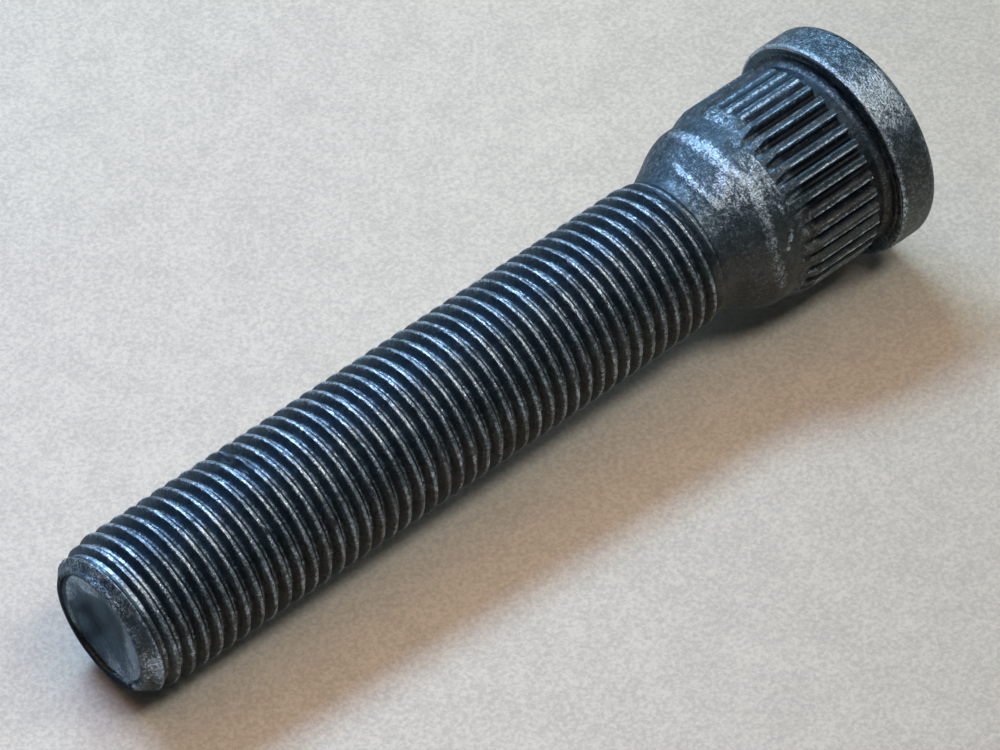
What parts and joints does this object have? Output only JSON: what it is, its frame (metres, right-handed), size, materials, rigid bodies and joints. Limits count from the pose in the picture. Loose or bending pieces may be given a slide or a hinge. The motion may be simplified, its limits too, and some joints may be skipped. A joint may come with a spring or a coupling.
{
  "type": "stud bolt",
  "caption": "Press-in wheel stud: flat round head, toothed knurl, flared plain shoulder and a long fine right-hand thread with a chamfered, cupped end.",
  "frame": {"origin": "centre of the head's outer face, on which the stud stands", "axes": "+Z along the stud's axis from the head to the thread's tip, a knurl groove faces -Y"},
  "size_m": [0.0186, 0.0186, 0.0751],
  "materials": {
    "steel": "dark oiled black finish, worn bright on the shoulder, the crests and the teeth"
  },
  "bodies": {
    "root": {"wheel_stud": "steel"}
  },
  "joints": []
}
